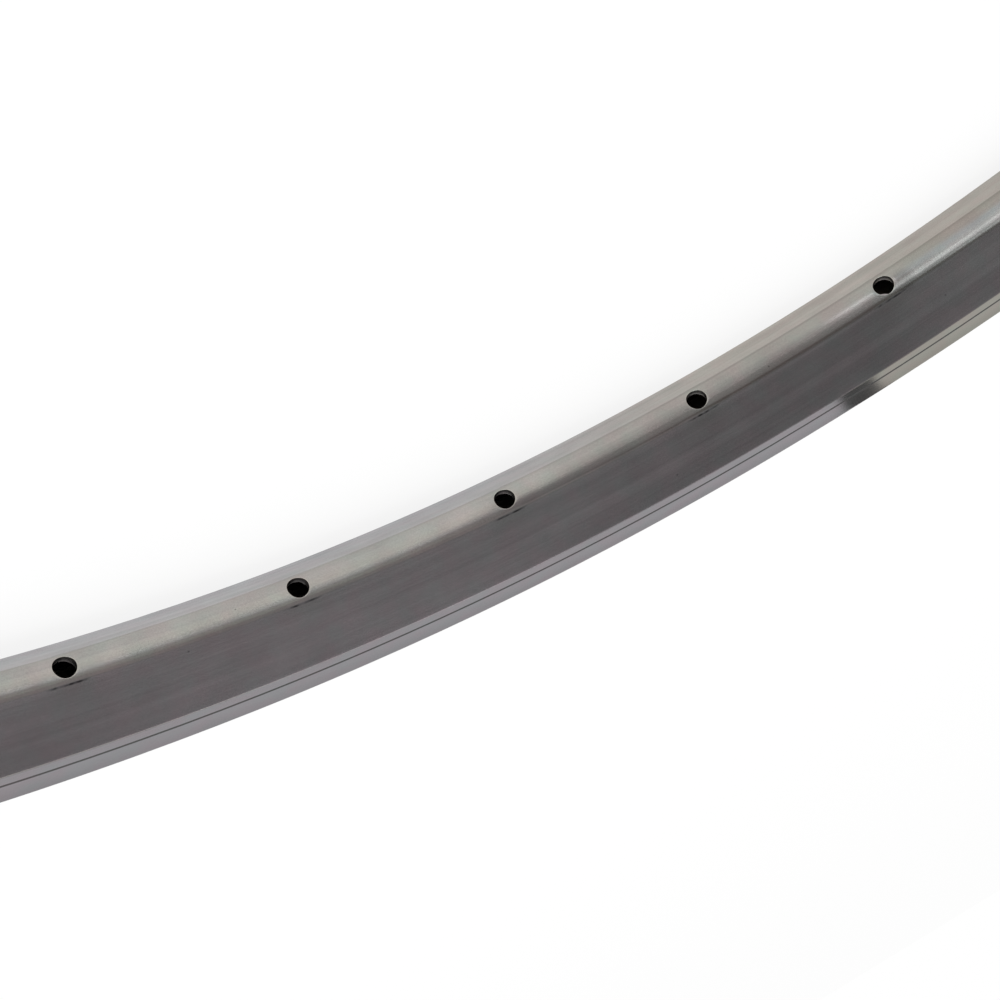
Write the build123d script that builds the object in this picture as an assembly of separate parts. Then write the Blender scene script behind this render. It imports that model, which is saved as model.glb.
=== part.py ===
from build123d import *
import math
import os

# Bicycle rim, size 559, for 36 spokes: a double-walled aluminium rim for rim brakes.
# It lies flat with its axle line on Z and its middle plane at Z = 0. One section is drawn
# in the plane of the axle line, with the radius along X, and turned once round the axle
# line. The spoke holes, their access holes and the valve hole are then drilled towards
# the hub. The valve hole is on +Y.

# Tyre seat, by the bicycle tyre and rim standard
bead_seat_diameter = 559.0
flange_height = 6.2
inner_width = 17.0

# Outer form of the section
rim_width = 22.7
rim_depth = 23.7
bed_width = 5.6
bed_crown = 0.6
brake_track_height = 11.2
edge_break = 0.7

# Walls of the section
bed_wall = 2.0
side_wall = 1.1
brake_wall = 1.7
well_wall = 1.2

# Tyre side of the section
hook_height = 2.0
hook_lead = 0.9
seat_width = 2.4
well_depth = 3.4
well_side_slope = 30.0

# Wear groove in each brake track, measured from the outer edge
wear_groove_from_edge = 7.5
wear_groove_width = 0.8
wear_groove_depth = 0.35

# Holes
spoke_count = 36
spoke_hole_diameter = 4.3
access_hole_diameter = 8.0
valve_hole_diameter = 8.5
drill_clearance = 1.0

# Radii and half widths that follow from the sizes above
seat_radius = bead_seat_diameter / 2
outer_radius = seat_radius + flange_height
bed_radius = outer_radius - rim_depth
bed_edge_radius = bed_radius + bed_crown
track_inner_radius = outer_radius - brake_track_height
well_radius = seat_radius - well_depth
half_width = rim_width / 2
half_bed = bed_width / 2
undercut_half = half_width - brake_wall
seat_inner_half = undercut_half - seat_width
well_half = seat_inner_half - well_depth * math.tan(math.radians(well_side_slope))


def inset(start, end, thickness):
    """Move the line from start to end to its right by thickness; give a point and a direction."""
    length = math.dist(start, end)
    direction = ((end[0] - start[0]) / length, (end[1] - start[1]) / length)
    moved = (start[0] + direction[1] * thickness, start[1] - direction[0] * thickness)
    return moved, direction


def meet(first, second):
    """Give the point where two lines cross, each line being a point and a direction."""
    (x1, y1), (dx1, dy1) = first
    (x2, y2), (dx2, dy2) = second
    along = ((x2 - x1) * dy2 - (y2 - y1) * dx2) / (dx1 * dy2 - dy1 * dx2)
    return x1 + dx1 * along, y1 + dy1 * along


# Corners of the upper half of the section, as radius and height, from the spoke bed outwards
bed_edge = (bed_edge_radius, half_bed)
track_inner = (track_inner_radius, half_width)
flange_outer = (outer_radius, half_width)
hook_tip = (outer_radius, inner_width / 2)
hook_base = (outer_radius - hook_height, inner_width / 2)
undercut_top = (outer_radius - hook_height - hook_lead, undercut_half)
seat_outer = (seat_radius, undercut_half)
seat_inner = (seat_radius, seat_inner_half)
well_side = (well_radius, well_half)
well_middle = (well_radius, 0.0)


def half_outline():
    """Corners of the upper half of the outer outline, with the wear groove cut in."""
    groove_radius = outer_radius - wear_groove_from_edge
    groove = [
        (groove_radius - wear_groove_width / 2, half_width),
        (groove_radius, half_width - wear_groove_depth),
        (groove_radius + wear_groove_width / 2, half_width),
    ]
    flange = [flange_outer, hook_tip, hook_base, undercut_top]
    seat = [seat_outer, seat_inner, well_side]
    return [bed_edge, track_inner, *groove, *flange, *seat, well_middle]


def chamber_outline():
    """Corners of the closed chamber: the outer outline moved in by each wall's thickness."""
    bed_line = ((bed_radius + bed_wall, 0.0), (0.0, 1.0))
    side_line = inset(bed_edge, track_inner, side_wall)
    track_line = inset(track_inner, flange_outer, brake_wall)
    seat_line = inset(seat_outer, seat_inner, well_wall)
    well_side_line = inset(seat_inner, well_side, well_wall)
    well_line = inset(well_side, well_middle, well_wall)
    lines = [bed_line, side_line, track_line, seat_line, well_side_line, well_line]
    upper = [meet(first, second) for first, second in zip(lines, lines[1:])]
    lower = [(radius, -height) for radius, height in reversed(upper)]
    return upper + lower


def rim_section():
    """The section of the rim: a crowned spoke bed, sloped sides, brake tracks and a tyre well."""
    upper = half_outline()
    lower = [(radius, -height) for radius, height in upper]
    with BuildSketch(Plane.XZ) as section:
        with BuildLine():
            ThreePointArc(lower[0], (bed_radius, 0.0), upper[0])
            Polyline(*upper)
            Polyline(*lower)
        make_face()
        with BuildLine():
            Polyline(*chamber_outline(), close=True)
        make_face(mode=Mode.SUBTRACT)
        for radius, height in (flange_outer, hook_tip):
            for side in (height, -height):
                corner = section.vertices().sort_by_distance(Vector(radius, side))[0]
                chamfer(corner, edge_break)
    return section.sketch


def radial_drill(diameter, inner_end, outer_end, angle):
    """A drill that points at the axle line, at an angle from +X."""
    turned = Plane((0, 0, 0), x_dir=(0, 0, 1), z_dir=Vector(1, 0, 0).rotate(Axis.Z, angle))
    centre = turned * Pos(0, 0, (inner_end + outer_end) / 2)
    return centre * Cylinder(diameter / 2, outer_end - inner_end)


def spoke_angles():
    """Angles of the spoke holes from +X, with the valve hole midway between two of them."""
    pitch = 360 / spoke_count
    return [90 + pitch * (place + 0.5) for place in range(spoke_count)]


def build_rim():
    """The whole rim: the section turned round the axle line, then drilled."""
    rim = revolve(rim_section(), Axis.Z, 360)
    bed_inner = bed_radius - drill_clearance
    chamber_inner = bed_radius + bed_wall + drill_clearance
    well_inner = well_radius - well_wall - drill_clearance
    well_outer = well_radius + drill_clearance
    drills = [radial_drill(valve_hole_diameter, bed_inner, well_outer, 90)]
    for angle in spoke_angles():
        drills.append(radial_drill(spoke_hole_diameter, bed_inner, chamber_inner, angle))
        drills.append(radial_drill(access_hole_diameter, well_inner, well_outer, angle))
    return rim - drills


rim = build_rim()
rim.label = "rim"

os.makedirs("parts", exist_ok=True)
export_step(rim, "parts/rim.step")
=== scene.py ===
"""Looks of the bicycle rim: a drawn aluminium box section, drilled for 36 spokes.

The rim lies flat, its axle line on Z. Sizes are in millimetres here and in the source,
and the meshes are written in metres. A cell is the stretch of rim about one hole. It is
built once, about the +Y direction, and Geometry Nodes turn it round the axle line.
"""

import logging
import math
from dataclasses import dataclass, field
from enum import Enum
from functools import partial
from typing import Callable

import bpy
from mathutils import Matrix, Vector


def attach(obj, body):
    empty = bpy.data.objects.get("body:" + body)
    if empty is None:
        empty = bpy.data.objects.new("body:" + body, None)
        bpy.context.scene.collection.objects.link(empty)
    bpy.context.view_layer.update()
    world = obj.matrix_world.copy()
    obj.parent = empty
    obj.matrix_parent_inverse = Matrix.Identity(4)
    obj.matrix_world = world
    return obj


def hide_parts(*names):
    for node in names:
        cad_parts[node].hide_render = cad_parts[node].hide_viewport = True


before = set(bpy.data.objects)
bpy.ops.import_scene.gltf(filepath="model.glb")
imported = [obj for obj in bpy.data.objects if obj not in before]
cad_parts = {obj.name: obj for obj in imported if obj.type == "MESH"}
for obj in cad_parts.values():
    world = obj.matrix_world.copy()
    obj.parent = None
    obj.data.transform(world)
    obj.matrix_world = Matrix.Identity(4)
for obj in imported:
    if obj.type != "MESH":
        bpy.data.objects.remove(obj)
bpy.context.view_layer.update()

MM = 0.001
LOG = logging.getLogger("rim")

Point = tuple[float, float]
Colour = tuple[float, float, float]
Surface = Callable[[float, float], float]
Source = bpy.types.Node | bpy.types.NodeSocket


class Zone(Enum):
    """Finishes that a face of the rim may have."""

    DRAWN = 0
    TRACK = 1
    BORE = 2
    TYRE_SIDE = 3
    CHAMBER = 4


class CellKind(Enum):
    """Stretches that the rim is put together from."""

    SPOKE = "spoke_cell"
    PLAIN = "plain_cell"
    VALVE = "valve_cell"


def linear(hex_colour: str) -> Colour:
    """Turn an sRGB hex colour into a linear one.

    Args:
        hex_colour: Six hex digits after a hash sign.

    Returns:
        Linear red, green and blue.
    """
    channels = [int(hex_colour[i:i + 2], 16) / 255 for i in (1, 3, 5)]
    return tuple(c / 12.92 if c <= 0.04045 else ((c + 0.055) / 1.055) ** 2.4 for c in channels)


def add_node(tree: bpy.types.NodeTree, kind: str, links: dict | None = None,
             **settings: object) -> bpy.types.Node:
    """Add a node to a tree, with its settings and the values or links of its inputs.

    Args:
        tree: Node tree of a material, a world or a modifier.
        kind: Blender's name for the kind of node.
        links: What each input gets, by its name or number: a value, an output socket, or a
            node, which stands for its first output in use.
        settings: Attributes of the node.

    Returns:
        The new node.
    """
    node = tree.nodes.new(kind)
    for name, value in settings.items():
        setattr(node, name, value)
    for name, value in (links or {}).items():
        socket = node.inputs[name]
        if isinstance(value, bpy.types.Node):
            value = next(output for output in value.outputs if output.enabled)
        if isinstance(value, bpy.types.NodeSocket):
            tree.links.new(value, socket)
        else:
            socket.default_value = (*value, 1.0) if socket.type == "RGBA" else value
    return node


def empty_tree(owner: bpy.types.Material | bpy.types.World) -> bpy.types.NodeTree:
    """Give a material or a world an empty node tree.

    Args:
        owner: The material or world.

    Returns:
        The tree.
    """
    owner.use_nodes = True
    owner.node_tree.nodes.clear()
    return owner.node_tree


def product(tree: bpy.types.NodeTree, factors: list[Source]) -> Source:
    """Multiply shares with one another.

    Args:
        tree: Node tree that gets the nodes.
        factors: The shares.

    Returns:
        Their product.
    """
    whole = factors[0]
    for factor in factors[1:]:
        whole = add_node(tree, "ShaderNodeMath", {0: whole, 1: factor}, operation="MULTIPLY")
    return whole


def blend(tree: bpy.types.NodeTree, value: Source, limits: Point, low: Source | Colour,
          high: Source | Colour) -> bpy.types.Node:
    """Blend one colour into another as a value passes from one limit to the other.

    Args:
        tree: Node tree that gets the nodes.
        value: What the blend goes by.
        limits: Where the blend starts and ends, in the value's own unit.
        low: Colour before the blend.
        high: Colour after it.

    Returns:
        The node that gives the colour.
    """
    share = add_node(tree, "ShaderNodeMapRange",
                     {"Value": value, "From Min": limits[0], "From Max": limits[1]},
                     interpolation_type="SMOOTHSTEP")
    return add_node(tree, "ShaderNodeMix", {0: share, 6: low, 7: high}, data_type="RGBA")


def put(name: str, data: bpy.types.ID) -> bpy.types.Object:
    """Add an object to the scene.

    Args:
        name: Name of the object.
        data: Its mesh, lamp or camera.

    Returns:
        The object.
    """
    made = bpy.data.objects.new(name, data)
    bpy.context.scene.collection.objects.link(made)
    return made


def smooth_step(low: float, high: float, value: float) -> float:
    """Blend from 0 at low to 1 at high, level at both ends."""
    share = min(1.0, max(0.0, (value - low) / (high - low)))
    return share * share * (3 - 2 * share)


def spread(start: float, end: float, steps: int) -> list[float]:
    """Values from start to end in equal steps, both ends among them."""
    return [start + (end - start) * i / steps for i in range(steps + 1)]


def rounded(before: Point, corner: Point, after: Point, radius: float,
            steps: int) -> list[Point]:
    """Points of the arc that rounds a corner of an outline.

    Args:
        before: Outline point before the corner.
        corner: The corner itself.
        after: Outline point after it.
        radius: Radius of the arc.
        steps: Number of faces along the arc.

    Returns:
        Points from the arc's start to its end.
    """
    here = Vector(corner)
    back = (Vector(before) - here).normalized()
    ahead = (Vector(after) - here).normalized()
    half = back.angle(ahead) / 2
    reach = radius / math.tan(half)
    centre = here + (back + ahead).normalized() * (radius / math.sin(half))
    start = here + back * reach - centre
    end = here + ahead * reach - centre
    turn = start.angle(end)
    arc = []
    for share in spread(0.0, 1.0, steps):
        low = math.sin((1 - share) * turn) / math.sin(turn)
        high = math.sin(share * turn) / math.sin(turn)
        point = centre + start * low + end * high
        arc.append((point.x, point.y))
    return arc


@dataclass
class Section:
    """Section of the rim, as radius from the axle line and height above its middle plane."""

    seat_radius: float = 279.5
    flange_height: float = 6.2
    rim_width: float = 22.7
    rim_depth: float = 23.7
    bed_width: float = 5.6
    bed_crown: float = 0.6
    bed_rounding: float = 2.0
    track_rounding: float = 0.25
    flange_rounding: float = 0.7
    hook_rounding: float = 0.3
    undercut_rounding: float = 0.4
    seat_rounding: float = 0.5
    well_rounding: float = 0.3
    side_rows: tuple[float, ...] = (6.4, 8.6, 11.1)
    track_lead: float = 0.5
    flange_lead: float = 1.2
    track_height: float = 11.2
    bed_wall: float = 2.0
    side_wall: float = 1.1
    brake_wall: float = 1.7
    well_wall: float = 1.2
    mouth_half: float = 8.5
    hook_height: float = 2.0
    hook_lead: float = 0.9
    seat_width: float = 2.4
    well_depth: float = 3.4
    well_side_slope: float = 30.0
    groove_from_edge: float = 7.5
    groove_width: float = 0.8
    groove_depth: float = 0.35
    press_depth: float = 0.06
    press_corner: float = 0.03
    press_start: float = 1.3
    notch_at: float = 3.12
    notch_half: float = 0.07
    notch_depth: float = 0.05
    notch_end: float = 3.9
    patch_half: float = 5.0

    def __post_init__(self) -> None:
        """Work out the radii, corners and roundings that follow from the sizes."""
        self.outer = self.seat_radius + self.flange_height
        self.bed = self.outer - self.rim_depth
        self.half_width = self.rim_width / 2
        self.bed_edge: Point = (self.bed + self.bed_crown, self.bed_width / 2)
        self.track_inner: Point = (self.outer - self.track_height, self.half_width)
        self.well = self.seat_radius - self.well_depth
        self.undercut = self.half_width - self.brake_wall
        self.seat_inner: Point = (self.seat_radius, self.undercut - self.seat_width)
        self.well_slope = math.tan(math.radians(self.well_side_slope))
        self.well_half = self.seat_inner[1] - self.well_depth * self.well_slope
        self.floor = self.bed + self.bed_wall
        self.ceiling = self.well - self.well_wall
        half_bed = self.bed_width / 2
        self.crown = (half_bed ** 2 + self.bed_crown ** 2) / (2 * self.bed_crown)
        rise = self.half_width - half_bed
        self.side_slope = (self.track_inner[0] - self.bed_edge[0]) / rise
        self.side_shift = self.side_wall * math.sqrt(1 + self.side_slope ** 2)
        self._round_bed()

    def _round_bed(self) -> None:
        """Find the arc that touches the crowned bed and the sloped side."""
        edge = Vector(self.bed_edge)
        along = (Vector(self.track_inner) - edge).normalized()
        inward = Vector((along.y, -along.x))
        middle = Vector((self.bed + self.crown, 0.0))
        across = self.bed_rounding - (middle - edge).dot(inward)
        reach = self.crown - self.bed_rounding
        back = math.sqrt(reach ** 2 - across ** 2)
        offset = inward * across - along * back
        self.round_centre = middle + offset
        self.round_start = offset.normalized().y * self.crown
        self.round_end = (self.round_centre - inward * self.bed_rounding).y

    def side(self, height: float) -> float:
        """Radius of the sloped side's straight line at a height."""
        return self.bed_edge[0] + (abs(height) - self.bed_edge[1]) * self.side_slope

    def natural(self, height: float) -> float:
        """Radius of the bed and side as drawn through the die.

        Args:
            height: Height above or below the middle plane.

        Returns:
            Radius from the axle line.
        """
        z = abs(height)
        if z <= self.round_start:
            return self.bed + self.crown - math.sqrt(self.crown ** 2 - z * z)
        if z <= self.round_end:
            rise = z - self.round_centre.y
            return self.round_centre.x - math.sqrt(self.bed_rounding ** 2 - rise * rise)
        return self.side(z)

    def pressed(self, height: float) -> float:
        """Radius of the bed and side where the drilling has pressed the bed outward.

        Args:
            height: Height above or below the middle plane.

        Returns:
            Radius from the axle line.
        """
        z = abs(height)
        fade = 1.0 - smooth_step(self.notch_at, self.patch_half, z)
        corner = self.press_corner * smooth_step(self.press_start, self.notch_at, z)
        return self.natural(z) + (self.press_depth + corner) * fade

    def notch_rows(self) -> list[float]:
        """Heights of the rows across the press mark beside a spoke hole."""
        return [self.notch_at + self.notch_half * step for step in (-2, -1, 0, 1, 2.5)]

    def notch_share(self, height: float) -> float:
        """Depth of the press mark: a sharp ledge that runs out slowly.

        Args:
            height: Height above or below the middle plane.

        Returns:
            Share of the full depth.
        """
        z = abs(height)
        rise = smooth_step(self.notch_at - 2 * self.notch_half, self.notch_at, z)
        return min(rise, 1.0 - smooth_step(self.notch_at, self.notch_end, z))

    def inner_side(self, height: float) -> float:
        """Radius of the chamber's floor and sloped side at a height."""
        return max(self.floor, self.side(height) + self.side_shift)

    def outline(self) -> list[tuple[Point, Zone]]:
        """Upper half of the outer outline, from the side to the well.

        Returns:
            Each point with the finish of the faces that follow it.
        """
        inner, top = self.track_inner, (self.outer, self.half_width)
        tip = (self.outer, self.mouth_half)
        base = (self.outer - self.hook_height, self.mouth_half)
        under = (base[0] - self.hook_lead, self.undercut)
        seat_outer = (self.seat_radius, self.undercut)
        well_side, middle = (self.well, self.well_half), (self.well, 0.0)
        groove = self.outer - self.groove_from_edge
        half_groove = self.groove_width / 2
        side = [(self.side(z), z) for z in self.side_rows]
        side += rounded(self.bed_edge, inner, top, self.track_rounding, 3)
        wide = self.half_width
        track = [(inner[0] + self.track_lead, wide), (groove - half_groove, wide),
                 (groove, wide - self.groove_depth), (groove + half_groove, wide),
                 (top[0] - self.flange_lead, wide)]
        flange = rounded(inner, top, tip, self.flange_rounding, 4)
        flange += rounded(top, tip, base, self.flange_rounding, 4)
        tyre = rounded(tip, base, under, self.hook_rounding, 2)
        tyre += rounded(base, under, seat_outer, self.undercut_rounding, 2)
        tyre += rounded(under, seat_outer, self.seat_inner, self.seat_rounding, 3)
        tyre += rounded(seat_outer, self.seat_inner, well_side, self.seat_rounding, 2)
        tyre += rounded(self.seat_inner, well_side, middle, self.well_rounding, 2)
        runs = [(side, Zone.DRAWN), (track, Zone.TRACK), (flange, Zone.DRAWN)]
        runs += [(tyre + [(self.well, self.patch_half)], Zone.TYRE_SIDE)]
        return [(point, zone) for points, zone in runs for point in points]

    def chamber_outline(self) -> list[Point]:
        """Upper half of the chamber's outline.

        Returns:
            Its points, from the sloped side to the ceiling.
        """
        roof, wall, start = self.seat_radius - self.well_wall, self.undercut, self.side_rows[0]
        step = self.well_wall * self.well_slope
        points = [(self.inner_side(z), z) for z in (start, wall)] + [(roof, wall)]
        points += [(roof, self.seat_inner[1] + step), (self.ceiling, self.well_half + step)]
        return points + [(self.ceiling, self.patch_half)]


@dataclass
class Cell:
    """One stretch of rim about the +Y direction, with or without holes."""

    section: Section
    kind: CellKind
    bed_hole: float = 0.0
    well_hole: float = 0.0
    pitch: float = 5.0
    fine_half: float = 7.4
    fine_steps: int = 16
    plain_steps: int = 3
    row_steps: int = 8
    edge_steps: int = 3
    bed_rings: tuple[float, ...] = (0.12, 0.35, 0.66, 1.0)
    well_rings: tuple[float, ...] = (0.3, 1.0)
    bore_edge: float = 0.12
    mark_shift: float = -0.3
    mark_full: float = 2.2
    mark_end: float = 4.0
    press_full: float = 1.0
    press_end: float = 7.3
    middle_half: float = 2.5
    before_notch: float = 2.75
    after_notch: float = 3.5
    vertices: list[tuple[float, float, float]] = field(default_factory=list)
    faces: list[tuple[int, ...]] = field(default_factory=list)
    zones: list[int] = field(default_factory=list)

    def __post_init__(self) -> None:
        """Set the columns of faces along the rim."""
        half = math.radians(self.pitch / 2)
        self.holed = self.kind is not CellKind.PLAIN
        edge = self.fine_half / self.section.bed
        self.patch = spread(-edge, edge, self.fine_steps)
        self.fine = [-half, *self.patch, half]
        self.coarse = [-half, *self.patch[::2], half]
        if not self.holed:
            self.fine = self.coarse = spread(-half, half, self.plain_steps)
        limit = self.section.patch_half
        self.bed_limit = self.middle_half if self.kind is CellKind.SPOKE else limit
        middle = spread(-self.middle_half, self.middle_half, self.row_steps)
        corner = [self.before_notch, *self.section.notch_rows(), self.after_notch,
                  self.section.notch_end, limit]
        self.bed_rows = [-z for z in reversed(corner)] + middle + corner
        self.floor_rows = [-limit, *middle, limit]
        self.well_rows = spread(-limit, limit, self.row_steps)

    def press(self, angle: float) -> float:
        """Share of the pressed form beside a spoke hole.

        Args:
            angle: Angle from the hole.

        Returns:
            Share between 0 and 1.
        """
        if self.kind is not CellKind.SPOKE:
            return 0.0
        reach = abs(angle) * self.section.bed
        return 1.0 - smooth_step(self.press_full, self.press_end, reach)

    def mark(self, angle: float, sign: float) -> float:
        """Share of the press mark at an angle along the rim.

        Args:
            angle: Angle from the hole.
            sign: 1 above the hole, -1 below it.

        Returns:
            Share between 0 and 1.
        """
        if self.kind is not CellKind.SPOKE:
            return 0.0
        along = angle * self.section.bed + self.mark_shift * sign
        return 1.0 - smooth_step(self.mark_full, self.mark_end, abs(along))

    def bed_radius(self, height: float, angle: float) -> float:
        """Radius of the bed and side, with what the drilling pressed into them.

        Args:
            height: Height above or below the middle plane.
            angle: Angle from the hole.

        Returns:
            Radius from the axle line.
        """
        share = self.press(angle)
        drawn = self.section.natural(height)
        if share:
            drawn += (self.section.pressed(height) - drawn) * share
        depth = self.section.notch_depth * self.section.notch_share(height)
        return drawn + depth * self.mark(angle, math.copysign(1.0, height))

    def floor_radius(self, height: float, angle: float) -> float:
        """Radius of the chamber's floor and side, the same at every angle."""
        return self.section.inner_side(height)

    def well_radius(self, height: float, angle: float) -> float:
        """Radius of the tyre well, the same everywhere."""
        return self.section.well

    def ceiling_radius(self, height: float, angle: float) -> float:
        """Radius of the chamber's ceiling, the same everywhere."""
        return self.section.ceiling

    def place(self, radius: float, height: float, angle: float) -> int:
        """Add a vertex.

        Args:
            radius: Radius from the axle line.
            height: Height above or below the middle plane.
            angle: Angle from the hole.

        Returns:
            Number of the vertex.
        """
        x, y = radius * math.sin(angle), radius * math.cos(angle)
        self.vertices.append((x * MM, y * MM, height * MM))
        return len(self.vertices) - 1

    def add_face(self, corners: list[int], zone: Zone, turned: bool = False) -> None:
        """Add a face with its finish, its corners in reverse if it is turned."""
        self.faces.append(tuple(reversed(corners)) if turned else tuple(corners))
        self.zones.append(zone.value)

    def band(self, points: list[Point], sign: int, zone: Zone, turned: bool) -> None:
        """Turn a run of the outline, mirrored if sign is -1, about the axle line."""
        made = [[self.place(r, z * sign, a) for a in self.coarse] for r, z in points]
        self.join_rows(made, zone, turned)

    def sheet(self, surface: Surface, heights: list[float], columns: list[float], zone: Zone,
              turned: bool) -> None:
        """Faces over a surface, which is a radius at each height and angle."""
        made = [[self.place(surface(z, a), z, a) for a in columns] for z in heights]
        self.join_rows(made, zone, turned)

    def join_rows(self, rows: list[list[int]], zone: Zone, turned: bool) -> None:
        """Join rows of vertices of the same length with faces.

        Args:
            rows: Numbers of the vertices in each row.
            zone: Finish of the faces.
            turned: Whether the faces point the other way.
        """
        for low, high in zip(rows, rows[1:]):
            for i in range(len(low) - 1):
                self.add_face([low[i], low[i + 1], high[i + 1], high[i]], zone, turned)

    def step_down(self, surface: Surface, limit: float, point: Point, sign: int, zone: Zone,
                  turned: bool) -> None:
        """Join the fine columns of a row to the coarse ones of the next.

        Args:
            surface: Radius from the axle line at a height and an angle.
            limit: Height of the fine row.
            point: Radius and height of the coarse row.
            sign: 1 on the upper half of the section, -1 on the lower.
            zone: Finish of the faces.
            turned: Whether the faces point the other way.
        """
        low = {a: self.place(surface(limit, a), limit * sign, a) for a in self.fine}
        high = {a: self.place(point[0], point[1] * sign, a) for a in self.coarse}
        for start, end in zip(self.coarse, self.coarse[1:]):
            between = [low[a] for a in self.fine if start <= a <= end]
            self.add_face(between + [high[end], high[start]], zone, turned ^ (sign < 0))

    def border(self, heights: list[float], columns: list[float]) -> list[Point]:
        """Points round a patch, from its lower right corner.

        Args:
            heights: Heights of its rows.
            columns: Angles of its columns.

        Returns:
            Height and angle of each point.
        """
        right = [(z, columns[-1]) for z in heights]
        top = [(heights[-1], a) for a in reversed(columns[1:-1])]
        left = [(z, columns[0]) for z in reversed(heights)]
        bottom = [(heights[0], a) for a in columns[1:-1]]
        return right + top + left + bottom

    def circle(self, hole: float, turns: list[float], surface: Surface, lift: float) -> list[int]:
        """Vertices round a hole, on a surface or moved out from it.

        Args:
            hole: Radius of the circle.
            turns: Angle of each vertex about the hole.
            surface: Radius from the axle line at a height and an angle.
            lift: Distance from the surface, away from the axle line.

        Returns:
            Numbers of the vertices.
        """
        made = []
        for turn in turns:
            x, z = hole * math.cos(turn), hole * math.sin(turn)
            radius = surface(z, x / self.section.bed) + lift
            made.append(self.place(radius, z, math.asin(x / radius)))
        return made

    def join_loops(self, low: list[int], high: list[int], zone: Zone, turned: bool) -> None:
        """Join two closed loops of as many vertices with faces.

        Args:
            low: Numbers of the vertices in the loop nearer to the hole.
            high: Numbers of the vertices in the other loop.
            zone: Finish of the faces.
            turned: Whether the faces point the other way.
        """
        for i in range(len(low)):
            j = (i + 1) % len(low)
            self.add_face([low[i], high[i], high[j], low[j]], zone, turned)

    def holed_patch(self, hole: float, heights: list[float], columns: list[float],
                    surface: Surface, zone: Zone, shares: tuple[float, ...], edge: float,
                    turned: bool) -> list[int]:
        """Patch of a surface with a round hole in it.

        Args:
            hole: Radius of the hole.
            heights: Heights of the rows at the patch's sides.
            columns: Angles of the columns at its top and bottom.
            surface: Radius from the axle line at a height and an angle.
            zone: Finish of the patch.
            shares: Places of the rings between the hole and the patch's border.
            edge: Rounding of the hole's edge, or 0 for a sharp one.
            turned: Whether the patch points away from the axle line.

        Returns:
            Numbers of the vertices where the bore starts.
        """
        outside = self.border(heights, columns)
        step = 2 * math.pi / len(outside)
        first = -step * (len(heights) - 1) / 2
        turns = [first + step * i for i in range(len(outside))]
        way = -1 if turned else 1
        parts = spread(0.0, math.pi / 2, self.edge_steps) if edge else [0.0]
        loops = [
            self.circle(hole + edge * (1 - math.cos(part)), turns, surface,
                        edge * (1 - math.sin(part)) * way)
            for part in parts
        ]
        for low, high in zip(loops, loops[1:]):
            self.join_loops(low, high, Zone.BORE, turned)
        wide = hole + edge
        last = loops[-1]
        for share in shares:
            ring = []
            for (z, a), turn in zip(outside, turns):
                near_z = wide * math.sin(turn)
                near_a = math.asin(wide * math.cos(turn) / surface(near_z, 0.0))
                height = near_z + (z - near_z) * share
                angle = near_a + (a - near_a) * share
                ring.append(self.place(surface(height, angle), height, angle))
            self.join_loops(last, ring, zone, turned)
            last = ring
        return loops[0]

    def outer_skin(self) -> None:
        """Bed, sides, brake tracks, flanges and tyre side, all but the patches with holes."""
        outline = self.section.outline()
        limit = self.section.patch_half
        for sign in (1, -1):
            self.step_down(self.bed_radius, limit, outline[0][0], sign, Zone.DRAWN, False)
            for (low, zone), (high, _) in zip(outline, outline[1:]):
                self.band([low, high], sign, zone, sign < 0)
        ends = [self.coarse[:2], self.coarse[-2:]] if self.holed else [self.coarse]
        for columns in ends:
            self.sheet(self.well_radius, self.well_rows, columns, Zone.TYRE_SIDE, True)

    def bed_skin(self) -> None:
        """Bed and its rounded edges, all but the patch with the spoke hole."""
        rows, limit = self.bed_rows, self.bed_limit
        if not self.holed:
            self.sheet(self.bed_radius, rows, self.fine, Zone.DRAWN, False)
            return
        for group in ([z for z in rows if z <= -limit], [z for z in rows if z >= limit]):
            self.sheet(self.bed_radius, group, self.fine, Zone.DRAWN, False)
        middle = [z for z in rows if -limit <= z <= limit]
        for columns in (self.fine[:2], self.fine[-2:]):
            self.sheet(self.bed_radius, middle, columns, Zone.DRAWN, False)

    def chamber(self) -> None:
        """Inside of the closed chamber, all but the patches with holes."""
        outline = self.section.chamber_outline()
        limit = self.section.patch_half
        for sign in (1, -1):
            self.step_down(self.floor_radius, limit, outline[0], sign, Zone.CHAMBER, True)
            self.band(outline, sign, Zone.CHAMBER, sign > 0)
        if not self.holed:
            self.sheet(self.floor_radius, self.floor_rows, self.fine, Zone.CHAMBER, True)
            self.sheet(self.ceiling_radius, self.well_rows, self.coarse, Zone.CHAMBER, False)
            return
        for ends in (self.coarse[:2], self.coarse[-2:]):
            self.sheet(self.ceiling_radius, self.well_rows, ends, Zone.CHAMBER, False)
        for ends in (self.fine[:2], self.fine[-2:]):
            self.sheet(self.floor_radius, self.floor_rows[1:-1], ends, Zone.CHAMBER, True)
            self.chamber_ends(ends)
        if self.kind is CellKind.SPOKE:
            for group in (self.floor_rows[:2], self.floor_rows[-2:]):
                self.sheet(self.floor_radius, group, self.patch, Zone.CHAMBER, True)

    def chamber_ends(self, ends: list[float]) -> None:
        """Chamber's sides beside the patch, whose rows end at the patch's border.

        Args:
            ends: Angles of the patch's side and the cell's end.
        """
        border = self.patch[0] if self.patch[0] in ends else self.patch[-1]
        for sign in (1, -1):
            rows = [self.floor_rows[-2] * sign, self.floor_rows[-1] * sign]
            if self.kind is CellKind.VALVE:
                rows = [z for z in self.bed_rows if min(rows) <= z <= max(rows)]
            rows = sorted(rows)
            far = ends[0] if border == ends[1] else ends[1]
            spots = [(z, border) for z in rows] + [(z, far) for z in (rows[-1], rows[0])]
            corners = [self.place(self.floor_radius(z, 0.0), z, angle) for z, angle in spots]
            self.add_face(corners, Zone.CHAMBER, border == ends[1])

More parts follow.
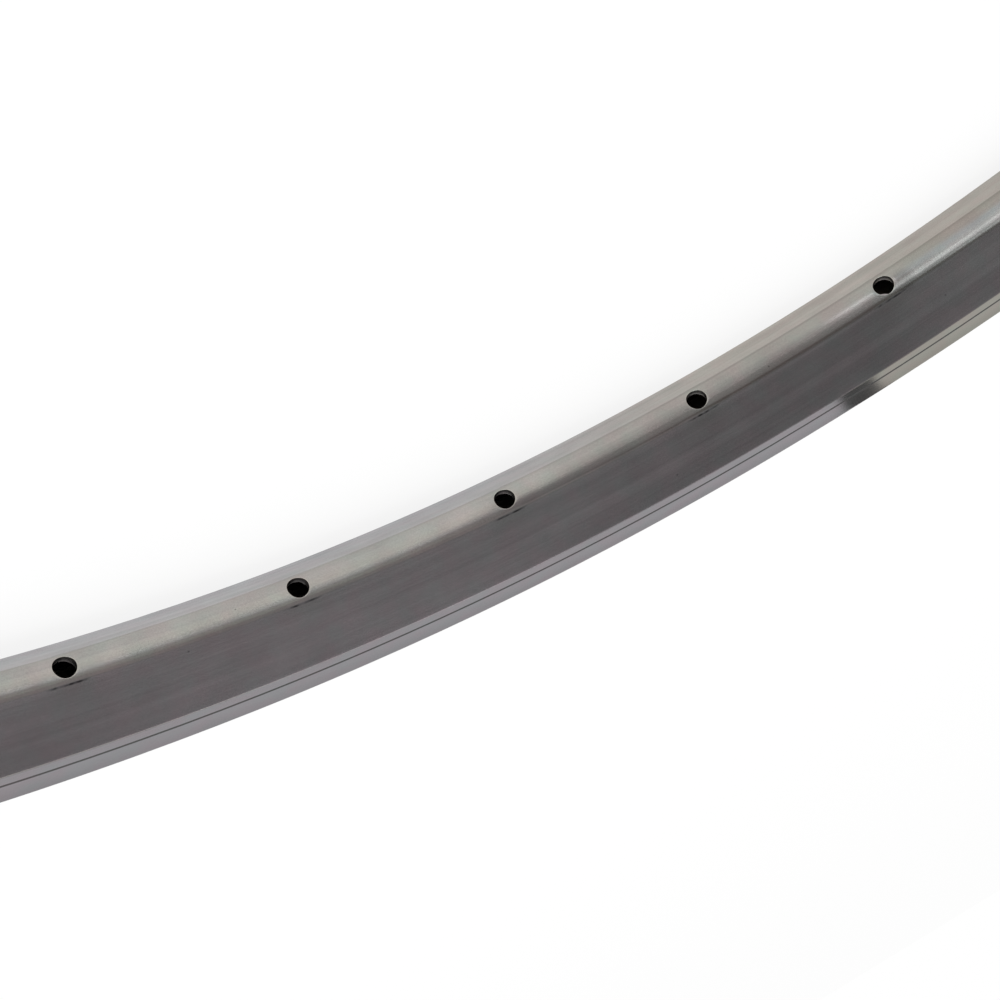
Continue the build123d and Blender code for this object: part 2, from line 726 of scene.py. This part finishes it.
    def holes(self) -> None:
        """Patches with holes, and the bores that join the outer skin to the chamber."""
        rows = [z for z in self.bed_rows if -self.bed_limit <= z <= self.bed_limit]
        walls = [(self.bed_hole, rows, self.patch, self.bed_radius, Zone.DRAWN,
                  self.bed_rings, self.floor_radius, True),
                 (self.well_hole, self.well_rows, self.patch[::2], self.well_radius,
                  Zone.TYRE_SIDE, self.well_rings, self.ceiling_radius, False)]
        for hole, heights, columns, outer, zone, rings, inner, turned in walls:
            outside = self.holed_patch(hole, heights, columns, outer, zone, rings,
                                       self.bore_edge, not turned)
            inside = self.holed_patch(hole, heights, columns, inner, Zone.CHAMBER, (1.0,),
                                      0.0, turned)
            self.join_loops(outside, inside, Zone.BORE, turned)

    def notch_shade_at(self, x: float, y: float, z: float) -> float:
        """Painted shade, which lies in the press marks beside a spoke hole and nowhere else.

        Args:
            x: Place of the vertex along X, in metres.
            y: Its place along Y.
            z: Its place along Z.

        Returns:
            Share between 0 and 1.
        """
        away = abs(abs(z) / MM - self.section.notch_at) / self.section.notch_half
        beyond = math.hypot(x, y) > (self.section.bed + self.section.bed_wall) * MM
        if away > 1.01 or beyond:
            return 0.0
        return self.mark(math.atan2(x, y), math.copysign(1.0, z))

    def build(self) -> bpy.types.Object:
        """Make the cell's mesh.

        Returns:
            An object that Geometry Nodes read and that is removed afterwards.
        """
        self.outer_skin()
        self.bed_skin()
        self.chamber()
        if self.holed:
            self.holes()
        mesh = bpy.data.meshes.new(self.kind.value)
        mesh.from_pydata(self.vertices, [], self.faces)
        zones = mesh.attributes.new("zone", "INT", "FACE")
        zones.data.foreach_set("value", self.zones)
        # Painted shade in the press marks, as a share at each vertex
        notch_shade = mesh.attributes.new("notch_shade", "FLOAT", "POINT")
        notch_shade.data.foreach_set("value", [self.notch_shade_at(x, y, z) for x, y, z in self.vertices])
        return put(self.kind.value, mesh)


class Spot:
    """Nodes that tell a material where on the rim a point lies."""

    def __init__(self, tree: bpy.types.NodeTree) -> None:
        """Add the nodes for the point, its X, Y and Z, and its radius from the axle line.

        Args:
            tree: Node tree of the material.
        """
        self.add = partial(add_node, tree)
        self.tree = tree
        self.point = self.add("ShaderNodeTexCoord").outputs["Object"]
        self.x, self.y, self.z = self.add("ShaderNodeSeparateXYZ", {0: self.point}).outputs
        self.flat = self.add("ShaderNodeCombineXYZ", {"X": self.x, "Y": self.y})
        self.radius = self.add("ShaderNodeVectorMath", {0: self.flat}, operation="LENGTH")

    def lines(self, across: float, along: float, detail: float) -> bpy.types.Node:
        """Noise drawn out round the axle line.

        Args:
            across: Spacing of the lines in millimetres.
            along: Their length in millimetres.
            detail: Detail of the noise.

        Returns:
            The noise, between 0 and 1.
        """
        slow = self.add("ShaderNodeVectorMath", {0: self.flat, "Scale": across / along},
                        operation="SCALE")
        lift = self.add("ShaderNodeCombineXYZ", {"Z": self.radius})
        place = self.add("ShaderNodeVectorMath", {0: slow, 1: lift}, operation="ADD")
        return self.add("ShaderNodeTexNoise",
                        {"Vector": place, "W": self.z, "Scale": 1 / (across * MM),
                         "Detail": detail, "Roughness": 0.6}, noise_dimensions="4D")

    def away(self, value: Source, place: float) -> bpy.types.Node:
        """Distance along an axis from a place in millimetres."""
        gap = self.add("ShaderNodeMath", {0: value, 1: -place * MM}, operation="ADD")
        return self.add("ShaderNodeMath", {0: gap}, operation="ABSOLUTE")


@dataclass(frozen=True)
class Aluminium:
    """Bare aluminium: a grey metal whose fine lines run the way it was drawn or cut."""

    name: str
    clean: str
    darker: str
    roughness: float
    anisotropic: float = 0.0
    streaks: float = 0.5
    edge_shade: float = 0.0
    pits: float = 0.0
    grain: float = 0.1
    outer_darkening: float = 0.0
    die_lines: float = 0.0
    side_darkening: float = 0.0
    # Painted dark reflection beside a hole: its strength, then its centre in mm
    dark_reflection: float = 0.0
    dark_reflection_place: tuple[float, float, float] = (114.2, -236.0, 1.6)
    reach: float = 0.45
    rougher: float = 0.03
    smoother: float = 0.02
    grain_depth: float = 0.02
    warm_film: Colour = (1.0, 0.96, 0.97)
    cool_film: Colour = (0.945, 1.0, 0.985)

    def build(self) -> bpy.types.Material:
        """Make the material.

        Returns:
            The material, with its pattern on Object coordinates.
        """
        material = bpy.data.materials.new(self.name)
        spot = Spot(empty_tree(material))
        add = spot.add
        # Drawing lines: 0.7 mm apart and 60 mm long, and broad ones of 3 mm by 150 mm
        fine, broad = spot.lines(0.7, 60.0, 4.0), spot.lines(3.0, 150.0, 2.0)
        # Size in mm and detail of the cloudy oxide film, of the grit of the handled surface,
        # so coarse that it shows at this distance, and of the film's warm and cool patches
        cloud, grit, patch = (
            add("ShaderNodeTexNoise",
                {"Vector": spot.point, "Scale": 1 / (size * MM), "Detail": detail})
            for size, detail in ((9.0, 3.0), (0.25, 2.0), (5.0, 2.0))
        )
        mixed = add("ShaderNodeMath", {0: fine, 1: self.streaks, 2: broad},
                    operation="MULTIPLY_ADD")
        for noise in (cloud, grit):
            mixed = add("ShaderNodeMath", {0: mixed, 1: noise}, operation="ADD")
        middle = (3 + self.streaks) / 2
        share = add("ShaderNodeMapRange",
                    {"Value": mixed, "From Min": middle - self.reach,
                     "From Max": middle + self.reach})
        patch = add("ShaderNodeMapRange", {"Value": patch, "From Min": 0.35, "From Max": 0.65})
        colour, film = (
            add("ShaderNodeMix", {0: amount, 6: low, 7: high}, data_type="RGBA")
            for amount, low, high in ((share, linear(self.darker), linear(self.clean)),
                                      (patch, self.warm_film, self.cool_film))
        )
        for tint in (film, self.shade(spot)):
            colour = add("ShaderNodeMix", {0: 1.0, 6: colour, 7: tint}, data_type="RGBA",
                         blend_type="MULTIPLY")
        rough = add("ShaderNodeMapRange",
                    {"Value": share, "To Min": self.roughness + self.rougher,
                     "To Max": self.roughness - self.smoother})
        height = add("ShaderNodeMath", {0: fine, 1: 2.0, 2: grit}, operation="MULTIPLY_ADD")
        bump = add("ShaderNodeBump",
                   {"Height": height, "Strength": self.grain,
                    "Distance": self.grain_depth * MM})
        around = add("ShaderNodeTangent", direction_type="RADIAL", axis="Z")
        shader = add("ShaderNodeBsdfPrincipled",
                     {"Base Color": colour, "Roughness": rough, "Metallic": 1.0,
                      "Anisotropic": self.anisotropic, "Anisotropic Rotation": 0.25,
                      "Normal": bump, "Tangent": around})
        add("ShaderNodeOutputMaterial", {"Surface": shader})
        return material

    def shade(self, spot: Spot) -> bpy.types.Node:
        """Painted shade in a crease and press marks, a painted dark reflection, pits, die lines
        and darker stretches.

        Args:
            spot: Where the point lies.

        Returns:
            Share of the colour that is left, as a grey.
        """
        add, tree = spot.add, spot.tree
        # Painted shade of 0.7 mm along the crease at the bed's lower edge
        crease = spot.away(spot.z, -2.95)
        # Pits of about 0.2 mm, one in every few cells of 7 mm
        cells = add("ShaderNodeTexVoronoi", {"Vector": spot.point, "Scale": 1 / (7 * MM)})
        # One painted dark reflection of about 6 mm beside a hole, where the pressed bed mirrors
        # darkness
        dark_reflection = add("ShaderNodeVectorMath",
                    {0: spot.point, 1: Vector(self.dark_reflection_place) * MM}, operation="DISTANCE")
        shares = [
            add("ShaderNodeMapRange", {"Value": value, "From Min": start, "From Max": end,
                                       "To Min": 1 - loss, "To Max": 1.0},
                interpolation_type=form)
            for value, start, end, loss, form in (
                (crease, 0.0, 0.7 * MM, self.edge_shade, "SMOOTHSTEP"),
                (cells, 0.015, 0.035, self.pits, "LINEAR"),
                (dark_reflection, 1.0 * MM, 3.5 * MM, self.dark_reflection, "SMOOTHSTEP"))
        ]
        # Painted shade in the press marks, broken up every 1.5 mm
        notch_shading = add("ShaderNodeAttribute", attribute_name="notch_shade").outputs["Fac"]
        patchy = add("ShaderNodeTexNoise",
                     {"Vector": spot.point, "Scale": 1 / (1.5 * MM), "Detail": 1.0})
        patchy = add("ShaderNodeMapRange", {"Value": patchy, "From Min": 0.35, "From Max": 0.6,
                                            "To Min": -0.3, "To Max": -0.85})
        shares.append(add("ShaderNodeMath", {0: notch_shading, 1: patchy, 2: 1.0},
                          operation="MULTIPLY_ADD"))
        # On the upper side, along X in mm: where the die lines fade in, and where the darker
        # stretches fade in and out
        upper = add("ShaderNodeMath", {0: spot.z, 1: 0.0}, operation="GREATER_THAN")
        lines, *darker = (
            product(tree, [
                add("ShaderNodeMapRange", {"Value": value, "From Min": start * MM,
                                           "From Max": end * MM, "To Min": first,
                                           "To Max": 1 - first},
                    interpolation_type="SMOOTHSTEP"), upper])
            for value, start, end, first in ((spot.x, 0.0, 50.0, 0.0),
                                             (spot.away(spot.x, -5.0), 15.0, 75.0, 0.0),
                                             (spot.x, 108.0, 125.0, 1.0))
        )
        # By radius in mm: the brake track darker towards its outer edge, a pale die line and
        # then a dark band, and the side's darker stretches
        for start, end, change, fade in ((278.0, 285.7, -self.outer_darkening, 1.0),
                                         (267.9, 269.0, self.die_lines, lines),
                                         (269.2, 271.0, -2 * self.die_lines, lines),
                                         (263.0, 264.5, -self.side_darkening, product(tree, darker))):
            part = add("ShaderNodeMapRange", {"Value": spot.radius, "From Min": start * MM,
                                              "From Max": end * MM, "To Max": change},
                       interpolation_type="SMOOTHSTEP")
            shares.append(add("ShaderNodeMath", {0: part, 1: fade, 2: 1.0},
                              operation="MULTIPLY_ADD"))
        left = product(tree, shares)
        return add("ShaderNodeCombineColor", {0: left, 1: left, 2: left})


FINISHES = {
    # Mill finish from the die: soft grey, drawn lines along the rim
    Zone.DRAWN: Aluminium("drawn_aluminium_mill_finish", "#B7B6B4", "#9D9C9B",
                          roughness=0.18, anisotropic=0.85, streaks=0.8, edge_shade=0.16,
                          pits=0.5, grain=0.35, die_lines=0.08, side_darkening=0.16, dark_reflection=0.3),
    # Brake track: drawn like the rest and left smoother
    Zone.TRACK: Aluminium("drawn_aluminium_brake_track", "#B1B0B0", "#A8A6A6",
                          roughness=0.085, anisotropic=1.0, streaks=0.3, pits=0.3, grain=0.05,
                          outer_darkening=0.18),
    # Holes: freshly cut, brighter than the skin about them
    Zone.BORE: Aluminium("drilled_aluminium_edge", "#CBC8C4", "#B4B1AD", roughness=0.3,
                         grain=0.3),
    # Tyre side: the same metal, never wiped, so duller
    Zone.TYRE_SIDE: Aluminium("drawn_aluminium_tyre_side", "#A9A8A6", "#9B9997",
                              roughness=0.27, anisotropic=0.7, pits=0.3),
    # Chamber: dull metal with cutting dust
    Zone.CHAMBER: Aluminium("drawn_aluminium_chamber", "#8F8A84", "#7E7974", roughness=0.4,
                            anisotropic=0.3, grain=0.2),
}


@dataclass
class Rim:
    """The whole rim: cells turned round the axle line and joined into one shell."""

    section: Section
    spoke_holes: int = 36
    spoke_hole: float = 2.15
    access_hole: float = 4.0
    valve_hole: float = 4.25
    merge: float = 0.002
    sharp_angle: float = 34.0

    def cells(self) -> dict[CellKind, bpy.types.Object]:
        """Build one cell of each kind.

        Returns:
            The cells.
        """
        holes = {CellKind.SPOKE: (self.spoke_hole, self.access_hole), CellKind.PLAIN: (),
                 CellKind.VALVE: (self.valve_hole, self.valve_hole)}
        return {kind: Cell(self.section, kind, *radii).build() for kind, radii in holes.items()}

    def tree(self, finishes: dict[Zone, bpy.types.Material]) -> bpy.types.NodeTree:
        """Node tree that turns the cells round the axle line.

        Args:
            finishes: Material of each zone.

        Returns:
            The tree, with inputs for the cells and their number.
        """
        tree = bpy.data.node_groups.new("rim_from_cells", "GeometryNodeTree")
        add = partial(add_node, tree)
        sockets = {"Geometry": "Geometry", **{kind.value: "Object" for kind in CellKind},
                   "spoke_holes": "Int", "merge_distance": "Float"}
        for name, form in sockets.items():
            tree.interface.new_socket(name, in_out="INPUT", socket_type="NodeSocket" + form)
        tree.interface.new_socket("Geometry", in_out="OUTPUT",
                                  socket_type="NodeSocketGeometry")
        given = add("NodeGroupInput").outputs
        count = given["spoke_holes"]
        fewer = add("ShaderNodeMath", {0: count, 1: 1.0}, operation="SUBTRACT")
        pitch = add("ShaderNodeMath", {0: 2 * math.pi, 1: count}, operation="DIVIDE")
        index = add("GeometryNodeInputIndex")
        join = add("GeometryNodeJoinGeometry")
        # Number of each kind of cell, and pitches from +Y to the first
        plans = {CellKind.SPOKE: (count, 0.5), CellKind.PLAIN: (fewer, 1.0)}
        for kind, (number, first) in plans.items():
            shape = add("GeometryNodeObjectInfo", {"Object": given[kind.value]})
            points = add("GeometryNodePoints", {"Count": number})
            place = add("ShaderNodeMath", {0: index, 1: first}, operation="ADD")
            turned = add("ShaderNodeCombineXYZ", {"Z": product(tree, [place, pitch])})
            ring = add("GeometryNodeInstanceOnPoints",
                       {"Points": points, "Instance": shape.outputs["Geometry"],
                        "Rotation": turned})
            tree.links.new(ring.outputs[0], join.inputs[0])
        valve = add("GeometryNodeObjectInfo", {"Object": given[CellKind.VALVE.value]})
        tree.links.new(valve.outputs["Geometry"], join.inputs[0])
        real = add("GeometryNodeRealizeInstances", {0: join})
        shell = add("GeometryNodeMergeByDistance",
                    {"Geometry": real, "Distance": given["merge_distance"]})
        zone = add("GeometryNodeInputNamedAttribute", {"Name": "zone"}, data_type="INT")
        for kind, material in finishes.items():
            match = add("FunctionNodeCompare", {2: zone, 3: kind.value}, data_type="INT",
                        operation="EQUAL")
            shell = add("GeometryNodeSetMaterial",
                        {"Geometry": shell, "Selection": match, "Material": material})
        add("NodeGroupOutput", {0: shell})
        return tree

    def build(self, finishes: dict[Zone, bpy.types.Material]) -> bpy.types.Object:
        """Make the rim as one plain mesh that stands for the CAD node.

        Args:
            finishes: Material of each zone.

        Returns:
            The finished piece.
        """
        cells = self.cells()
        piece = put("rim_shell", bpy.data.meshes.new("rim_seed"))
        modifier = piece.modifiers.new("cells", "NODES")
        modifier.node_group = self.tree(finishes)
        values = {kind.value: cell for kind, cell in cells.items()}
        values |= {"spoke_holes": self.spoke_holes, "merge_distance": self.merge * MM}
        for item in modifier.node_group.interface.items_tree:
            if item.in_out == "INPUT" and item.name in values:
                modifier[item.identifier] = values[item.name]
        bpy.context.view_layer.update()
        evaluated = piece.evaluated_get(bpy.context.evaluated_depsgraph_get())
        mesh = bpy.data.meshes.new_from_object(evaluated)
        piece.modifiers.clear()
        piece.data = mesh
        mesh.name = "rim_shell"
        for cell in cells.values():
            bpy.data.objects.remove(cell)
        self.drop_empty_slots(mesh)
        mesh.shade_smooth()
        mesh.set_sharp_from_angle(angle=math.radians(self.sharp_angle))
        return piece

    def drop_empty_slots(self, mesh: bpy.types.Mesh) -> None:
        """Take out the material slots that hold nothing.

        Args:
            mesh: Mesh of the finished piece.
        """
        numbers = [face.material_index for face in mesh.polygons]
        kept = [slot for slot, material in enumerate(mesh.materials) if material]
        materials = [mesh.materials[slot] for slot in kept]
        mesh.materials.clear()
        for material in materials:
            mesh.materials.append(material)
        moved = {slot: place for place, slot in enumerate(kept)}
        mesh.polygons.foreach_set("material_index", [moved[n] for n in numbers])


@dataclass(frozen=True)
class Panel:
    """Bright or dark panel of the room, placed by compass direction and height in degrees."""

    name: str
    turn: Point
    rise: Point
    colour: Colour
    soft_turn: float = 1.5
    soft_rise: float = 5.0

    def mask(self, tree: bpy.types.NodeTree, turn: Source, rise: Source) -> Source:
        """Share of the panel in a direction.

        Args:
            tree: Node tree of the world.
            turn: Angle of the direction from +X, in radians.
            rise: Its angle above the floor, in radians.

        Returns:
            1 inside the panel and 0 outside it.
        """
        sides = [(turn, self.turn, self.soft_turn), (rise, self.rise, self.soft_rise)]
        return product(tree, [
            add_node(tree, "ShaderNodeMapRange",
                     {"Value": angle, "From Min": math.radians(start - way * soft),
                      "From Max": math.radians(start + way * soft)},
                     interpolation_type="SMOOTHSTEP")
            for angle, limits, soft in sides for start, way in zip(limits, (1, -1))
        ])


@dataclass
class Studio:
    """Plain pale floor, soft light and the camera of the photograph."""

    floor_height: float = -11.35
    floor_half: float = 12000.0
    floor_glow: float = 0.85
    camera_place: tuple[float, float, float] = (-71.549, -14.366, 113.266)
    camera_right: tuple[float, float, float] = (0.869359, 0.107361, 0.482377)
    camera_up: tuple[float, float, float] = (0.372119, 0.500082, -0.781950)
    lens: float = 51.087
    sensor: float = 36.0
    nearest: float = 10.0
    lamp_place: tuple[float, float, float] = (-600.0, 900.0, 1500.0)
    lamp_size: float = 900.0
    lamp_power: float = 12.0
    white: Colour = (1.0, 1.0, 1.0)
    paper: Colour = (0.9, 0.9, 0.9)
    room: Colour = (0.25, 0.22, 0.23)
    # The roof, and where it starts and where its two halves meet, as parts of a direction
    roof_left: Colour = (0.335, 0.305, 0.335)
    roof_right: Colour = (0.2, 0.2, 0.2)
    roof_start: Point = (0.6, 0.93)
    roof_middle: Point = (0.055, 0.125)
    panels: tuple[Panel, ...] = (
        Panel("left_lamp", (-125.0, -70.0), (45.0, 72.0), (1.42, 1.38, 1.28), 3.0),
        Panel("high_lamp", (-68.0, -50.0), (45.0, 72.0), (1.58, 1.37, 1.52), 3.0),
        Panel("cool_wall", (-125.0, -55.0), (2.0, 42.0), (0.59, 0.57, 0.6), 0.1),
        Panel("gap", (-55.0, -53.35), (2.0, 42.0), (0.1, 0.1, 0.1), 0.1),
        Panel("warm_wall", (-53.35, -15.0), (2.0, 42.0), (0.63, 0.61, 0.55), 0.1),
        Panel("pale_wall", (20.0, 79.0), (-30.0, 6.0), (1.4, 1.4, 1.4), 4.0, 7.0),
        Panel("middle_wall", (20.0, 77.0), (15.0, 33.0), (0.49, 0.47, 0.44), 4.0),
        Panel("upper_wall", (20.0, 74.0), (38.0, 66.0), (0.36, 0.32, 0.32), 4.0),
        Panel("dark_corner", (84.0, 100.0), (2.0, 30.0), (0.33, 0.32, 0.31), 3.0),
        Panel("dark_upper", (80.0, 100.0), (34.0, 66.0), (0.15, 0.13, 0.12), 3.0),
        Panel("window", (101.5, 150.0), (-12.0, 18.0), (1.2, 1.19, 1.2), 1.0),
        Panel("window_frame", (102.3, 112.0), (3.0, 10.0), (2.0, 2.0, 2.0), 0.7, 2.0),
        Panel("over_window", (103.0, 150.0), (28.0, 66.0), (1.22, 1.29, 1.27), 2.0),
        Panel("back_wall", (158.0, 179.9), (2.0, 60.0), (0.4, 0.4, 0.4), 0.1),
        Panel("back_wall", (-179.9, -133.0), (2.0, 60.0), (0.4, 0.4, 0.4), 0.1),
    )

    def floor(self) -> None:
        """Floor of matt white paper, lit by the lamp and white to the camera."""
        half, height = self.floor_half * MM, self.floor_height * MM
        signs = ((-1, -1), (1, -1), (1, 1), (-1, 1))
        mesh = bpy.data.meshes.new("floor")
        mesh.from_pydata([(x * half, y * half, height) for x, y in signs], [], [(0, 1, 2, 3)])
        made = put("floor", mesh)
        material = bpy.data.materials.new("matt_white_paper")
        tree = empty_tree(material)
        add = partial(add_node, tree)
        path = add("ShaderNodeLightPath").outputs
        seen = add("ShaderNodeMath", {0: path["Is Camera Ray"], 1: path["Is Glossy Ray"]},
                   operation="MAXIMUM")
        share = add("ShaderNodeMath", {0: seen, 1: self.floor_glow}, operation="MULTIPLY")
        colour = add("ShaderNodeMix", {0: path["Is Glossy Ray"], 6: self.white,
                                       7: self.mirrored_floor(tree)}, data_type="RGBA")
        paper = add("ShaderNodeBsdfDiffuse", {"Color": self.paper})
        glow = add("ShaderNodeEmission", {"Color": colour})
        mix = add("ShaderNodeMixShader", {0: share, 1: paper, 2: glow})
        add("ShaderNodeOutputMaterial", {"Surface": mix})
        mesh.materials.append(material)

    def mirrored_floor(self, tree: bpy.types.NodeTree) -> bpy.types.Node:
        """Tint of the floor as the metal mirrors it, with painted shade and a painted highlight:
        warm inside the ring and to the right.

        Args:
            tree: Node tree of the floor.

        Returns:
            The colour.
        """
        point = add_node(tree, "ShaderNodeTexCoord").outputs["Object"]
        x = add_node(tree, "ShaderNodeSeparateXYZ", {0: point}).outputs["X"]
        radius = add_node(tree, "ShaderNodeVectorMath", {0: point}, operation="LENGTH")
        # Colours of the floor's rings from the middle outward: each ring's left colour, then
        # where along X its colour changes and what it changes to, in mm
        rings = [
            ((1.15, 1.15, 1.15), [(15, 70, (0.85, 0.78, 0.77)), (96, 116, (1.15, 1.09, 1.12))]),
            ((1.15, 1.1, 0.99), [(15, 70, (0.37, 0.32, 0.31)), (99, 103, (1.15, 1.15, 1.15))]),
            # The third ring's strip of 2.2 is a painted highlight, which the bed mirrors as a
            # glint beside a spoke hole
            ((1.04, 0.99, 0.91), [(15, 70, (0.64, 0.62, 0.58)), (91, 95, (2.2, 2.2, 2.2)),
                                  (102, 104, (0.75, 0.8, 0.83))]),
            ((1.04, 0.99, 0.91), [(15, 70, (0.64, 0.62, 0.58)), (106, 116, (0.75, 0.8, 0.83))]),
            ((0.92, 0.89, 0.85), [(15, 90, (0.83, 0.78, 0.72)), (105, 125, (0.78, 0.72, 0.64))]),
            ((0.75, 0.74, 0.77), [(15, 90, (0.83, 0.77, 0.71))]),
        ]
        # Radii between which one ring passes into the next
        joins = [(125, 132), (205, 212), (228, 233), (236, 250), (263, 275)]
        tints = []
        for tint, changes in rings:
            for start, end, new in changes:
                tint = blend(tree, x, (start * MM, end * MM), tint, new)
            tints.append(tint)
        whole = tints[0]
        for (start, end), tint in zip(joins, tints[1:]):
            whole = blend(tree, radius, (start * MM, end * MM), whole, tint)
        return whole

    def world(self) -> None:
        """Dim room with bright panels for the metal to mirror, white where the camera sees it."""
        world = bpy.data.worlds.new("studio")
        bpy.context.scene.world = world
        tree = empty_tree(world)
        add = partial(add_node, tree)
        way = add("ShaderNodeTexCoord").outputs["Generated"]
        x, y, z = add("ShaderNodeSeparateXYZ", {0: way}).outputs
        turn = add("ShaderNodeMath", {0: y, 1: x}, operation="ARCTAN2")
        rise = add("ShaderNodeMath", {0: z}, operation="ARCSINE")
        roof = blend(tree, y, self.roof_middle, self.roof_left, self.roof_right)
        room = blend(tree, z, self.roof_start, self.room, roof)
        for panel in self.panels:
            room = add("ShaderNodeMix", {0: panel.mask(tree, turn, rise), 6: room,
                                         7: panel.colour}, data_type="RGBA", label=panel.name)
        dim, white = (add("ShaderNodeBackground", {"Color": tint}) for tint in (room, self.white))
        glossy = add("ShaderNodeLightPath").outputs["Is Glossy Ray"]
        mirrored = add("ShaderNodeMixShader", {0: glossy, 1: white, 2: dim})
        add("ShaderNodeOutputWorld", {"Surface": mirrored})

    def lamp(self) -> None:
        """Soft square lamp that points at the rim's middle and that the metal doesn't mirror."""
        data = bpy.data.lights.new("top_light", "AREA")
        data.size = self.lamp_size * MM
        data.energy = self.lamp_power
        made = put("top_light", data)
        place = Vector(self.lamp_place) * MM
        made.location = place
        made.rotation_euler = (-place).to_track_quat("-Z", "Y").to_euler()
        made.visible_glossy = made.visible_camera = False

    def camera(self) -> None:
        """Camera inside the ring, turned over as in the photograph."""
        data = bpy.data.cameras.new("camera")
        data.lens = self.lens
        data.sensor_width = self.sensor
        data.clip_start = self.nearest * MM
        made = put("camera", data)
        right, up = Vector(self.camera_right), Vector(self.camera_up)
        turn = Matrix((right, up, right.cross(up))).transposed().to_4x4()
        made.matrix_world = Matrix.Translation(Vector(self.camera_place) * MM) @ turn
        bpy.context.scene.camera = made

    def build(self) -> None:
        """Set up the floor, the light and the camera."""
        self.floor()
        self.world()
        self.lamp()
        self.camera()
        bpy.context.scene.view_settings.view_transform = "Standard"


def main() -> None:
    """Build the rim, dress it and set the studio."""
    logging.basicConfig(level=logging.INFO, format="%(message)s")
    rim = Rim(Section()).build({zone: finish.build() for zone, finish in FINISHES.items()})
    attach(rim, "root")
    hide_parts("rim")
    LOG.info("%s: %d faces", rim.name, len(rim.data.polygons))
    Studio().build()


if __name__ == "__main__":
    main()
